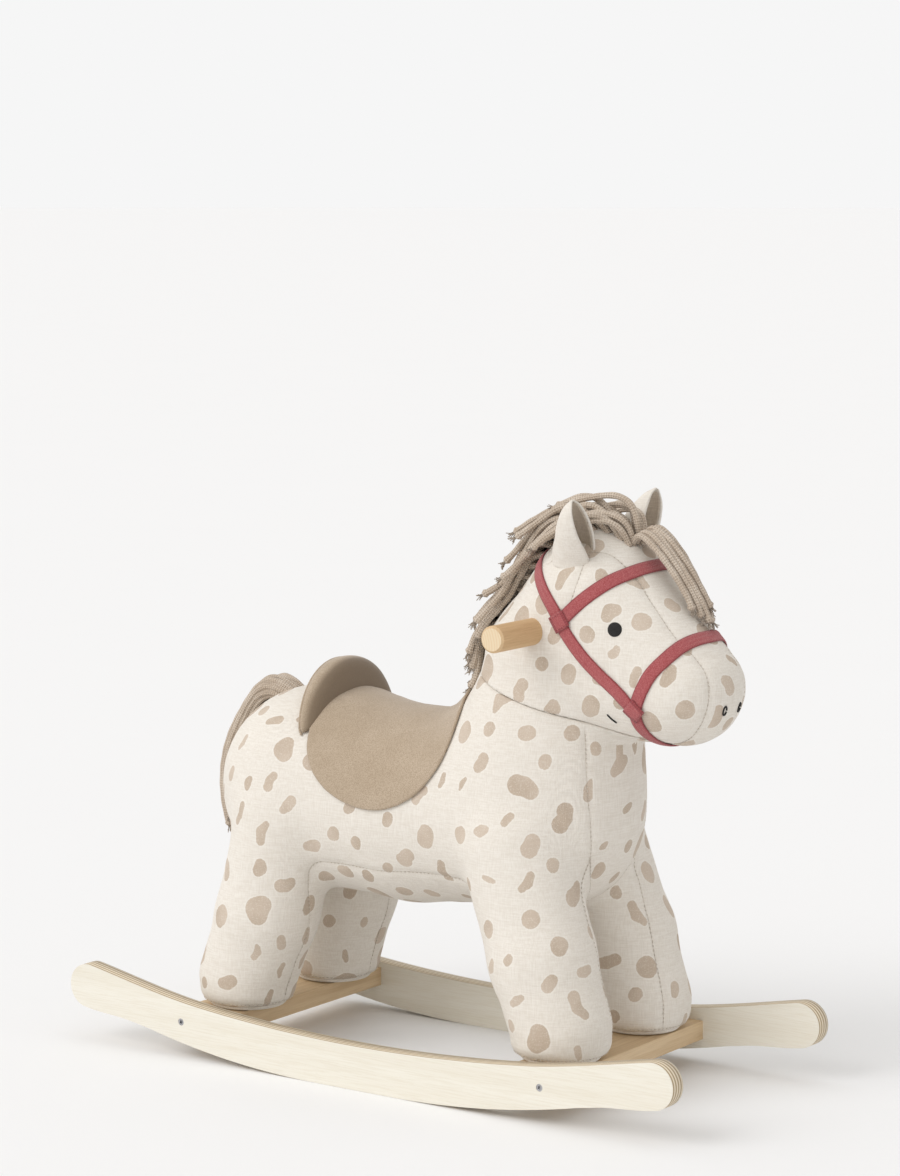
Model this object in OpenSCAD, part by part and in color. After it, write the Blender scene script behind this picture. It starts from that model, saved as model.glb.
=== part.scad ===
// Rocking horse: a padded horse on two plywood rockers, sized for a toddler.
// Millimetres. The floor is z = 0, the horse looks along -Y and +X is its left side.

/* [Rockers] */
// Length of a rocker from tip to tip
rocker_len = 700; // [660:5:760]
// Thickness of the rocker plywood
rocker_t = 18; // [15:1:21]
// Clear distance between the two rockers
rocker_gap = 247; // [244:1:270]
// Height of a rocker at its middle
rocker_h = 42; // [38:1:48]
// Length of the true flat under a rocker
flat_len = 90; // [60:5:110]
// Radius of the curved lower edge beyond the flat
sole_r = 930; // [850:10:1100]
// Radius of the hollow upper edge
top_r = 1770; // [1500:10:2200]
// Radius of the round rocker ends
knob_r = 21.7; // [20:0.1:23]

/* [Crossboards] */
// Width of a crossboard along the horse
board_w = 62; // [56:1:70]
// Thickness of a crossboard
board_t = 18; // [15:1:20]
// Distance from the middle of the horse to the middle of a crossboard
board_y = 192; // [185:1:198]
// Height of the top of the crossboards
board_top = 44; // [42:0.5:46]

/* [Fasteners] */
// Diameter of the rocker screw heads
screw_head_d = 7; // [6:0.5:10]
// Diameter of the screw shanks
screw_d = 5; // [4:0.5:6]
// Diameter of the locating dowels
peg_d = 8; // [6:1:10]

/* [Inner frame] */
// Side of a square leg post
post_w = 34; // [28:1:38]
// Height of the underside of the seat board
seat_z = 214; // [208:1:220]
// Thickness of the seat board
seat_t = 12; // [9:1:15]
// Thickness of the neck board
neck_t = 18; // [15:1:20]

/* [Handle] */
// Diameter of the handle dowel
handle_d = 25; // [22:0.5:28]
// Length of the handle dowel
handle_len = 262; // [240:2:280]
// Distance of the dowel ahead of the middle of the horse
handle_y = 149; // [144:1:154]
// Height of the dowel
handle_z = 438; // [430:1:444]

/* [Padding] */
// Radius of the trunk at its middle
trunk_r = 96; // [90:1:98]
// Radius of a leg near the foot
leg_r = 48; // [45.5:0.5:50]
// Sideways distance of a foot from the middle
foot_x = 70; // [66:0.5:72]
// Lengthways distance of a foot from the middle
foot_y = 183; // [180:0.5:186]
// Gap left between padded pieces
ease = 0.4; // [0.3:0.1:0.8]

/* [Saddle] */
// Radius of the half-round saddle flaps
flap_r = 82; // [76:1:86]
// Thickness of the saddle padding
saddle_t = 5; // [3:0.5:7]
// Height of the cantle above the trunk
cantle_h = 41; // [36:1:44]

/* [Bridle] */
// Width of the bridle tape
tape_w = 12.5; // [10:0.5:14]
// Thickness of the bridle tape
tape_t = 1.6; // [1.2:0.2:2]

/* [Hidden] */
$fn = 48;
round_fn = 32;
inner_x = rocker_gap / 2;
knob_y = rocker_len / 2 - knob_r;
knob_z = 54.5;
neck_y = 270;
screw_y = 209;
peg_y = 175;
screw_z = board_top - board_t / 2;
lean = 0.21;
post_x = 68;
belly_z = 196;
// Clearance around everything that sits in a bored hole
fit = 0.05;
// Screws stand in pairs, this far to each side of the middle of a post
pair_x = 9;
// Half sizes of the seat board in [x, y], and its narrower middle
seat_half = [84, 168];
seat_waist = 68;
waist_from = 100;
waist_to = 118;
// Steel angles that hold the neck board
bracket_w = 24;
bracket_leg = 32;
bracket_t = 2.5;
bracket_y = -119;
handle_screw_y = -111;
// Middle of the round top of a leg, where it meets the trunk
hip = [54, 140, 230];
sole_top = 48;
seat_top = seat_z + seat_t;
// Middles and radii of the spheres that the padded forms are drawn around
rump = [0, 142, 257];
rump_r = 98;
waist = [0, 20, 249];
chest = [0, -118, 262];
chest_r = 92;
withers = [0, -130, 335];
withers_r = 82;
nape = [0, -136, 402];
nape_r = 66;
skull = [0, -184, 465];
skull_r = 67;
muzzle = [0, -281, 387];
muzzle_r = 51;
ear_base = [45, -190, 512];
ear_tip = [78, -202, 564];
// Middle lines of the cord bundles as [y, z, radius]
mane_line = [[-204, 534, 18], [-160, 540, 20], [-112, 502, 23], [-80, 450, 22], [-54, 396, 14]];
forelock_line = [[-214, 526, 16], [-252, 504, 13], [-292, 460, 10]];
tail_line = [[196, 338, 14], [228, 322, 16], [249, 286, 17], [253, 240, 17], [251, 200, 13]];
// Middle of the round saddle flaps in [y, z], and where the saddle meets the neck
saddle_at = [18, 340];
pommel_y = -42;
// Upright crescent behind the saddle
trunk_top = 346;
cantle_r = 76;
cantle_t = 27;
cantle_y = 104;
cantle_lean = 8;
cantle_z = trunk_top + cantle_h - cantle_r;
cantle_low = 318;
// Plane of the seam between head and neck: one point, and its tilt about X
seam_point = [0, -135, 374];
seam_tilt = 16;
// Points where the bridle straps cross on the side of the head, as [y, z]
upper_tab = [-181, 450];
lower_tab = [-257, 374];
// Middle of an eye as [y, z]
eye_at = [-236, 446];
eye_r = 6.7;
// Tilts about X of the bridle straps
brow_tilt = -48;
nose_tilt = -45;
crown_tilt = 60;
cheek_tilt = atan2(upper_tab.y - lower_tab.y, upper_tab.x - lower_tab.x);

SIDES = [["right", -1], ["left", 1]];
ENDS = [["front", -1], ["rear", 1]];

birch = [0.90, 0.86, 0.77];
pine = [0.87, 0.73, 0.54];
ply = [0.80, 0.70, 0.55];
steel = [0.62, 0.63, 0.65];
cream = [0.93, 0.90, 0.85];
taupe = [0.55, 0.49, 0.42];
cord = [0.70, 0.63, 0.55];
lining = [0.74, 0.69, 0.63];
red = [0.66, 0.27, 0.28];
black = [0.08, 0.08, 0.08];

// ---------- helpers ----------

// Draws its outline, given as [y, z], and makes it thick along X between two planes
module plate(x_low, x_high) {
    translate([x_low, 0, 0])
        rotate([90, 0, 90])
            linear_extrude(height = x_high - x_low)
                children();
}

// A cylinder along X between two planes
module rod_x(x_low, x_high, y, z, r) {
    translate([x_low, y, z])
        rotate([0, 90, 0])
            cylinder(r = r, h = x_high - x_low);
}

module ball(centre, r) {
    translate(centre)
        sphere(r = r, $fn = round_fn);
}

// Space above (side = 1) or below (side = -1) a plane through a point, tilted about X
module half_space(point, tilt, side) {
    size = 900;
    translate(point)
        rotate([tilt, 0, 0])
            translate([-size / 2, -size / 2, side > 0 ? 0 : -size])
                cube(size);
}

// A slab of tape width whose middle plane passes through [y, z], tilted about X
module slab(at, tilt, width) {
    translate([0, at.x, at.y])
        rotate([tilt, 0, 0])
            cube([400, 700, width], center = true);
}

// ---------- rockers and boards ----------

function low_edge(y) = sole_r - sqrt(pow(sole_r, 2) - pow(y - flat_len / 2, 2));
function high_edge(y) = rocker_h + top_r - sqrt(pow(top_r, 2) - pow(y, 2));

module rocker_band() {
    intersection() {
        difference() {
            union() {
                translate([-flat_len / 2, 0])
                    square([flat_len, sole_r]);
                for (s = [-1, 1])
                    translate([s * flat_len / 2, sole_r])
                        circle(r = sole_r, $fn = 360);
            }
            translate([0, rocker_h + top_r])
                circle(r = top_r, $fn = 360);
        }
        translate([-neck_y, 0])
            square([2 * neck_y, 2 * rocker_h]);
    }
}

module rocker_end() {
    polygon([
        [neck_y - 0.5, low_edge(neck_y)],
        [neck_y - 0.5, high_edge(neck_y)],
        [knob_y - knob_r * 0.28, knob_z + knob_r * 0.96],
        [knob_y - knob_r * 0.17, knob_z - knob_r * 0.985]
    ]);
    translate([knob_y, knob_z])
        circle(r = knob_r, $fn = 96);
}

module rocker_plate(x_low, x_high) {
    plate(x_low, x_high)
        rocker_band();
    plate(x_low, x_high)
        rocker_end();
    plate(x_low, x_high)
        mirror([1, 0])
            rocker_end();
}

module rocker(side) {
    color(birch)
        difference() {
            if (side < 0)
                rocker_plate(-inner_x - rocker_t, -inner_x);
            else
                rocker_plate(inner_x, inner_x + rocker_t);
            screw_places(side)
                screw_space(fit);
            peg_places(side)
                peg(fit);
        }
}

// Places its children with local +X pointing out of the horse at each board end
module screw_places(side) {
    for (s = [-1, 1])
        translate([side * inner_x, s * screw_y, screw_z])
            rotate([0, 0, side < 0 ? 180 : 0])
                children();
}

module peg_places(side) {
    for (s = [-1, 1])
        translate([side * inner_x, s * peg_y, screw_z])
            rotate([0, 0, side < 0 ? 180 : 0])
                children();
}

module screw_space(extra) {
    rod_x(-34 - extra, rocker_t + 1, 0, 0, screw_d / 2 + extra);
    rod_x(rocker_t - 4, rocker_t + 1, 0, 0, screw_head_d / 2 + extra);
}

module peg(extra) {
    rod_x(-18 - extra, 12 + extra, 0, 0, peg_d / 2 + extra);
}

module rocker_screw() {
    difference() {
        union() {
            rod_x(-34, rocker_t - 2, 0, 0, screw_d / 2);
            rod_x(rocker_t - 4, rocker_t - 0.4, 0, 0, screw_head_d / 2);
        }
        rod_x(rocker_t - 2.6, rocker_t + 1, 0, 0, 1.9, $fn = 6);
    }
}

module rocker_screws() {
    color(steel)
        for (side = [-1, 1])
            screw_places(side)
                rocker_screw();
}

module locating_dowels() {
    color(pine)
        for (side = [-1, 1])
            peg_places(side)
                peg(0);
}

module crossboard(end) {
    color(pine)
        difference() {
            translate([-inner_x, end * board_y - board_w / 2, board_top - board_t])
                cube([rocker_gap, board_w, board_t]);
            for (side = [-1, 1]) {
                screw_places(side)
                    screw_space(fit);
                peg_places(side)
                    peg(fit);
            }
            leg_screw_places(end)
                leg_screw(fit);
        }
}

// ---------- inner frame ----------

function post_y(z) = foot_y - lean * (z - board_top);

// Outline of a leaning post in [y, z], grown by a margin
module post_outline(end, extra) {
    half = post_w / 2 + extra;
    low = board_top - extra;
    high = seat_z + extra;
    polygon([
        [end * (post_y(low) - half), low],
        [end * (post_y(low) + half), low],
        [end * (post_y(high) + half), high],
        [end * (post_y(high) - half), high]
    ]);
}

module post_block(end, side, extra) {
    plate(side * post_x - post_w / 2 - extra, side * post_x + post_w / 2 + extra)
        post_outline(end, extra);
}

module leg_post(end, side) {
    color(pine)
        difference() {
            post_block(end, side, 0);
            leg_screw_places(end)
                leg_screw(fit);
            seat_screw_places()
                seat_screw(fit);
        }
}

module leg_screw_places(end) {
    for (side = [-1, 1], dx = [-pair_x, pair_x])
        translate([side * post_x + dx, end * (foot_y - 4), board_top - board_t])
            children();
}

module leg_screw(extra) {
    translate([0, 0, -extra])
        cylinder(r = 2.4 + extra, h = 58 + 2 * extra);
    translate([0, 0, -1])
        cylinder(r = 4.6 + extra, h = 4 + extra);
}

module leg_screw_body() {
    difference() {
        union() {
            translate([0, 0, 1])
                cylinder(r = 2.4, h = 57);
            translate([0, 0, 0.4])
                cylinder(r = 4.6, h = 2.6);
        }
        cylinder(r = 1.6, h = 1.8, $fn = 6);
    }
}

module leg_screws() {
    color(steel)
        for (end = [-1, 1])
            leg_screw_places(end)
                leg_screw_body();
}

module seat_screw_places() {
    for (end = [-1, 1], side = [-1, 1], dx = [-pair_x, pair_x])
        translate([side * post_x + dx, end * (post_y(seat_z) + 4), seat_top])
            children();
}

module seat_screw(extra) {
    translate([0, 0, -48 - extra])
        cylinder(r = 2.2 + extra, h = 48 + extra);
    translate([0, 0, -3])
        cylinder(r = 4.2 + extra, h = 4);
}

module seat_screw_body() {
    difference() {
        union() {
            translate([0, 0, -48])
                cylinder(r = 2.2, h = 47);
            translate([0, 0, -3])
                cylinder(r = 4.2, h = 2.6);
        }
        translate([0, 0, -1.8])
            cylinder(r = 1.6, h = 3, $fn = 6);
    }
}

module seat_board_screws() {
    color(steel)
        seat_screw_places()
            seat_screw_body();
}

// The seat board, narrower between the legs than over them
module seat_block(extra) {
    wide = seat_half.x + extra;
    long = seat_half.y + extra;
    narrow = seat_waist + extra;
    translate([0, 0, seat_z - extra])
        linear_extrude(height = seat_t + 2 * extra)
            polygon([
                [narrow, -waist_from], [narrow, waist_from], [wide, waist_to], [wide, long],
                [-wide, long], [-wide, waist_to], [-narrow, waist_from], [-narrow, -waist_from],
                [-wide, -waist_to], [-wide, -long], [wide, -long], [wide, -waist_to]
            ]);
}

module seat_board() {
    color(ply)
        difference() {
            seat_block(0);
            seat_screw_places()
                seat_screw(fit);
            bracket_screw_places()
                bracket_screw_space(fit);
        }
}

module neck_outline(extra) {
    polygon([
        [-74 + extra, seat_top],
        [-164 - extra, seat_top],
        [-178 - extra, 400],
        [-182 - extra, 478 + extra],
        [-134 + extra, 486 + extra],
        [-100 + extra, 400]
    ]);
}

module neck_board() {
    color(ply)
        difference() {
            plate(-neck_t / 2, neck_t / 2)
                neck_outline(0);
            rod_x(-neck_t, neck_t, -handle_y, handle_z, handle_d / 2 + fit);
            bracket_screw_places()
                bracket_screw_space(fit);
            handle_screw_space(fit);
        }
}

module neck_brackets() {
    color(steel)
        difference() {
            for (side = [-1, 1])
                mirror([side < 0 ? 1 : 0, 0, 0])
                    translate([neck_t / 2, bracket_y - bracket_w / 2, seat_top])
                        rotate([90, 0, 0])
                            translate([0, 0, -bracket_w])
                                linear_extrude(height = bracket_w)
                                    polygon([
                                        [0, 0], [bracket_leg, 0], [bracket_leg, bracket_t],
                                        [bracket_t, bracket_t], [bracket_t, bracket_leg], [0, bracket_leg]
                                    ]);
            bracket_screw_places()
                bracket_screw_space(fit);
        }
}

// One screw through each leg of each bracket, with local +Z pointing out of its head
module bracket_screw_places() {
    for (side = [-1, 1]) {
        translate([side * (neck_t / 2 + 20), bracket_y, seat_top + bracket_t])
            children();
        translate([side * (neck_t / 2 + bracket_t), bracket_y, seat_top + 20])
            rotate([0, side * 90, 0])
                children();
    }
}

module bracket_screw_space(extra) {
    translate([0, 0, -bracket_t - 6 - extra])
        cylinder(r = 1.9 + extra, h = bracket_t + 7 + extra);
}

module bracket_screws() {
    color(steel)
        bracket_screw_places() {
            translate([0, 0, -bracket_t - 6])
                cylinder(r = 1.9, h = bracket_t + 6);
            difference() {
                cylinder(r = 3.6, h = 2);
                translate([0, 0, 0.9])
                    cylinder(r = 1.3, h = 2, $fn = 6);
            }
        }
}

// ---------- handle ----------

module handle_dowel() {
    bevel = 2;
    straight = handle_len / 2 - bevel;
    color(pine)
        difference() {
            translate([0, -handle_y, handle_z])
                rotate([0, 90, 0])
                    rotate_extrude($fn = 96)
                        polygon([
                            [0, -handle_len / 2], [handle_d / 2 - bevel, -handle_len / 2],
                            [handle_d / 2, -straight], [handle_d / 2, straight],
                            [handle_d / 2 - bevel, handle_len / 2], [0, handle_len / 2]
                        ]);
            handle_screw_space(fit);
        }
}

module handle_screw_space(extra) {
    translate([0, handle_screw_y + 6, handle_z])
        rotate([90, 0, 0])
            cylinder(r = 2 + extra, h = 46 + extra);
}

module handle_screw() {
    color(steel)
        translate([0, handle_screw_y - 4, handle_z])
            rotate([90, 0, 0])
                cylinder(r = 2, h = 36);
}

// ---------- padded forms ----------

module torso_form(extra) {
    hull() {
        ball(rump, rump_r + extra);
        ball(waist, trunk_r + extra);
        ball(chest, chest_r + extra);
    }
}

module neck_form(extra) {
    hull() {
        ball(chest, chest_r - 8 + extra);
        ball(withers, withers_r + extra);
        ball(nape, nape_r + 3 + extra);
    }
}

module head_form(extra) {
    hull() {
        ball(nape, nape_r + extra);
        ball(skull, skull_r + extra);
        ball(muzzle, muzzle_r + extra);
    }
}

// Everything that the padding is packed around
module frame_space(extra) {
    seat_block(extra);
    translate([-50, -140, seat_top - 1])
        cube([100, 42, 40]);
    for (end = [-1, 1])
        translate([-post_x - 16, end * (post_y(seat_z) + 4) - 7, seat_top - 1])
            cube([2 * post_x + 32, 14, 5]);
    plate(-neck_t / 2 - extra, neck_t / 2 + extra)
        neck_outline(extra);
    for (end = [-1, 1], side = [-1, 1])
        post_block(end, side, extra);
    rod_x(-handle_len, handle_len, -handle_y, handle_z, handle_d / 2 + extra);
    handle_screw_space(extra);
}

module torso() {
    color(cream)
        difference() {
            union() {
                torso_form(0);
                neck_form(0);
            }
            half_space([0, 0, belly_z + ease], 0, -1);
            for (end = [-1, 1], side = [-1, 1])
                leg_form(end, side, ease);
            half_space(seam_point - [0, 0, ease], seam_tilt, 1);
            frame_space(ease);
        }
}

module head() {
    color(cream)
        difference() {
            head_form(0);
            half_space(seam_point, seam_tilt, -1);
            frame_space(ease);
        }
}

module belly_panel() {
    color(cream)
        difference() {
            torso_form(0);
            half_space([0, 0, belly_z], 0, 1);
            for (end = [-1, 1], side = [-1, 1])
                leg_form(end, side, ease);
        }
}

module leg_form(end, side, extra) {
    foot = [side * foot_x, end * foot_y, 0];
    hull() {
        translate(foot + [0, 0, sole_top - extra])
            cylinder(r = leg_r - 5 + extra, h = 1, $fn = 64);
        translate(foot + [0, 0, sole_top + 10])
            cylinder(r = leg_r + extra, h = 14, $fn = 64);
        ball([side * hip.x, end * hip.y, hip.z], leg_r + 1 + extra);
    }
}

module leg(end, side) {
    color(cream)
        difference() {
            leg_form(end, side, 0);
            post_block(end, side, ease);
            seat_block(ease);
        }
}

module sole(end, side) {
    color(cream)
        difference() {
            translate([side * foot_x, end * foot_y, board_top])
                cylinder(r = leg_r - 6, h = sole_top - board_top - ease);
            post_block(end, side, ease);
        }
}

// ---------- saddle ----------

// Side view of the seat and its flaps in [y, z]
module saddle_outline() {
    difference() {
        translate(saddle_at)
            polygon([for (a = [0 : 7.5 : 352.5]) flap_r * [cos(a), sin(a)]]);
        translate([pommel_y - 200, 0])
            square([200, 500]);
        translate([cantle_y, cantle_z])
            rotate(-cantle_lean)
                square([cantle_t + 2 * ease, 400], center = true);
    }
}

module saddle_seat() {
    color(taupe)
        intersection() {
            difference() {
                torso_form(saddle_t);
                torso_form(ease);
            }
            plate(-130, 130)
                saddle_outline();
        }
}

// A round-topped upright, wider than the trunk is where it stands
module saddle_cantle() {
    color(taupe)
        difference() {
            translate([0, cantle_y, cantle_z])
                rotate([90 - cantle_lean, 0, 0])
                    cylinder(r = cantle_r, h = cantle_t, center = true, $fn = 96);
            torso_form(ease);
            half_space([0, 0, cantle_low], 0, -1);
        }
}

// ---------- ears ----------

module ear_shape(side, grow) {
    hull() {
        translate([side * ear_base.x, ear_base.y, ear_base.z])
            scale([1, 0.55, 0.7])
                sphere(r = 21 + grow, $fn = 24);
        translate([side * (ear_base.x + 14), ear_base.y - 5, ear_base.z + 18])
            scale([1, 0.5, 1])
                sphere(r = 17 + grow, $fn = 24);
        translate([side * (ear_tip.x - 4), ear_tip.y, ear_tip.z - 4])
            sphere(r = 4 + grow, $fn = 16);
    }
}

// Front half of the space that an ear fills
module ear_front(side) {
    translate([side * 60, ear_base.y - 6, 535])
        rotate([12, 0, 0])
            translate([-60, -60, -80])
                cube([120, 60, 160]);
}

module ear(side) {
    color(cream)
        difference() {
            ear_shape(side, 0);
            head_form(ease);
            ear_front(side);
        }
}

module ear_lining(side) {
    color(lining)
        intersection() {
            difference() {
                ear_shape(side, -2);
                head_form(ease);
            }
            translate([0, -ease, 0])
                ear_front(side);
        }
}

// ---------- cord bundles ----------

// A chain of rounded links through a list of [y, z, radius], spread sideways
module bundle(points, spread) {
    scale([spread, 1, 1])
        for (i = [1 : len(points) - 1])
            hull() {
                ball([0, points[i - 1].x, points[i - 1].y], points[i - 1].z);
                ball([0, points[i].x, points[i].y], points[i].z);
            }
}

module mane() {
    color(cord)
        difference() {
            bundle(mane_line, 1.5);
            head_form(3 + ease);
            neck_form(ease);
            half_space([0, -203, 500], 90, 1);
        }
}

module forelock() {
    color(cord)
        difference() {
            bundle(forelock_line, 1.2);
            head_form(3 + ease);
            half_space([0, -203 - ease, 500], 90, -1);
        }
}

module tail() {
    color(cord)
        difference() {
            bundle(tail_line, 1.3);
            torso_form(ease);
        }
}

// ---------- bridle ----------

module tape_shell(low, high) {
    difference() {
        head_form(high);
        head_form(low);
    }
}

module browband() {
    color(red)
        intersection() {
            tape_shell(0.2, 0.2 + tape_t);
            slab(upper_tab, brow_tilt, tape_w);
            half_space([0, upper_tab.x, upper_tab.y], crown_tilt - 90, 1);
        }
}

module headpiece() {
    color(red)
        intersection() {
            tape_shell(0.2, 0.2 + tape_t);
            slab(upper_tab, crown_tilt, tape_w);
            half_space([0, upper_tab.x, upper_tab.y + tape_w], 0, 1);
        }
}

module noseband() {
    color(red)
        intersection() {
            tape_shell(0.2, 0.2 + tape_t);
            slab(lower_tab, nose_tilt, tape_w);
            half_space([0, lower_tab.x, lower_tab.y], 42, 1);
        }
}

module chin_strap() {
    color(red)
        intersection() {
            tape_shell(0.2, 0.2 + tape_t);
            slab(lower_tab, nose_tilt - 3, tape_w);
            half_space([0, lower_tab.x, lower_tab.y], 42, -1);
        }
}

module cheek_strap(side) {
    color(red)
        intersection() {
            tape_shell(0.2, 0.2 + tape_t);
            slab(upper_tab, cheek_tilt, tape_w);
            half_space([0, upper_tab.x - 8, upper_tab.y - 8], 42, -1);
            translate([0, lower_tab.x + 9, 0])
                translate([side < 0 ? -200 : 0, 0, 300])
                    cube([200, 90, 200]);
        }
}

module strap_tabs() {
    color(red)
        for (tab = [upper_tab, lower_tab])
            intersection() {
                tape_shell(0.4 + tape_t, 0.4 + 2 * tape_t);
                translate([0, tab.x, tab.y])
                    rotate([42, 0, 0])
                        cube([400, 18, 16], center = true);
            }
}

// ---------- embroidery ----------

module eyes() {
    color(black)
        intersection() {
            tape_shell(0.2, 1.4);
            rod_x(-100, 100, eye_at.x, eye_at.y, eye_r);
        }
}

module nostrils() {
    color(black)
        intersection() {
            tape_shell(0.2, 1.2);
            for (side = [-1, 1])
                translate([side * 13, -330, 374])
                    rotate([90, 0, 0])
                        cylinder(r = 3.4, h = 60, center = true);
        }
}

module mouth_stitches() {
    color(black)
        intersection() {
            tape_shell(0.2, 1.0);
            slab([-226, 361], 38, 1.6);
            translate([-100, -232, 340])
                cube([200, 13, 40]);
        }
}

rocker(-1);  // rocker_right
rocker(1);  // rocker_left
crossboard(-1);  // front_crossboard
crossboard(1);  // rear_crossboard
rocker_screws();
locating_dowels();
for (e = ENDS, s = SIDES) {
    leg_post(e[1], s[1]);
    leg(e[1], s[1]);
    sole(e[1], s[1]);
}
leg_screws();
seat_board();
seat_board_screws();
neck_board();
neck_brackets();
bracket_screws();
handle_dowel();
handle_screw();
torso();
belly_panel();
head();
saddle_seat();
saddle_cantle();
for (s = SIDES) {
    ear(s[1]);
    ear_lining(s[1]);
    cheek_strap(s[1]);
}
mane();
forelock();
tail();
browband();
noseband();
headpiece();
chin_strap();
strap_tabs();
eyes();
nostrils();
mouth_stitches();
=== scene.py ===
"""Rocking horse: a padded horse with a printed cotton cover on two birch plywood rockers.

Lengths in this file are millimetres until a mesh is made, which turns them into metres.
The floor is z = 0, the horse looks along -Y and +X is its left side.
"""
import math

import bmesh
import bpy
import numpy as np
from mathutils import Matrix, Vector, kdtree, noise


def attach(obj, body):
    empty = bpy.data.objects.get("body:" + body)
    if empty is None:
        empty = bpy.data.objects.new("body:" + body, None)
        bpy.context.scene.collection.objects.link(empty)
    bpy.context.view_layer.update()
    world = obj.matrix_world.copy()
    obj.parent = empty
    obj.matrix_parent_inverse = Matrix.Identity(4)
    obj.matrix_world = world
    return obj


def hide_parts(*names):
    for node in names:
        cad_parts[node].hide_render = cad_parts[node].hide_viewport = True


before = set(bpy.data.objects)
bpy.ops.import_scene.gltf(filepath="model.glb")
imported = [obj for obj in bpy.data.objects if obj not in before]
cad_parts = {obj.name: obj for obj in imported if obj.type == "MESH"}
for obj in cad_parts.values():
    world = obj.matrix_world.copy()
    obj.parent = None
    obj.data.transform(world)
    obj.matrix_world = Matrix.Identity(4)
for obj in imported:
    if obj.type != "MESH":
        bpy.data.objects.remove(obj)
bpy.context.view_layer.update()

MM = 0.001
ROCKER_T, INNER_X = 18, 123.5
SIDES = (("right", -1), ("left", 1))


# ---------- camera, light and floor ----------

CAMERA_AT = (-2.675, -1.882, 0.868)
CAMERA_AZIMUTH = -55.04
CAMERA_DOWN = 7.09
CAMERA_LENS = 105.43
BACKDROP = (0.922, 0.922, 0.922, 1.0)
SKY_LIGHT = 0.725
# Where each soft light comes from, its strength and its width in degrees
LIGHTS = {
    "key_light": ((-0.85, 0.45, 0.75), 1.08, 38),
    "fill_light": ((-1.00, -0.25, 0.30), 0.15, 70),
    "top_light": ((-0.35, 0.25, 1.00), 0.42, 100),
}


def add_camera():
    data = bpy.data.cameras.new("camera")
    data.sensor_width = 36
    data.lens = CAMERA_LENS
    data.clip_end = 200
    camera = bpy.data.objects.new("camera", data)
    camera.location = CAMERA_AT
    camera.rotation_euler = (
        math.radians(90 - CAMERA_DOWN), 0, math.radians(CAMERA_AZIMUTH))
    bpy.context.collection.objects.link(camera)
    bpy.context.scene.camera = camera


def add_lights():
    for name, (source, strength, width) in LIGHTS.items():
        data = bpy.data.lights.new(name, "SUN")
        data.energy = strength
        data.angle = math.radians(width)
        lamp = bpy.data.objects.new(name, data)
        lamp.rotation_euler = Vector(source).to_track_quat("Z", "Y").to_euler()
        bpy.context.collection.objects.link(lamp)


def add_world():
    """Even studio light, with the plain backdrop that the camera sees behind the floor."""
    world = bpy.data.worlds.new("studio")
    world.use_nodes = True
    tree = world.node_tree
    soft = tree.nodes["Background"]
    soft.inputs["Color"].default_value = (1.0, 0.985, 0.965, 1.0)
    soft.inputs["Strength"].default_value = SKY_LIGHT
    seen = tree.nodes.new("ShaderNodeBackground")
    seen.inputs["Color"].default_value = BACKDROP
    path = tree.nodes.new("ShaderNodeLightPath")
    mix = tree.nodes.new("ShaderNodeMixShader")
    tree.links.new(path.outputs["Is Camera Ray"], mix.inputs["Fac"])
    tree.links.new(soft.outputs["Background"], mix.inputs[1])
    tree.links.new(seen.outputs["Background"], mix.inputs[2])
    tree.links.new(mix.outputs["Shader"], tree.nodes["World Output"].inputs["Surface"])
    bpy.context.scene.world = world
    bpy.context.scene.view_settings.view_transform = "Standard"


# ---------- material graphs ----------

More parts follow.
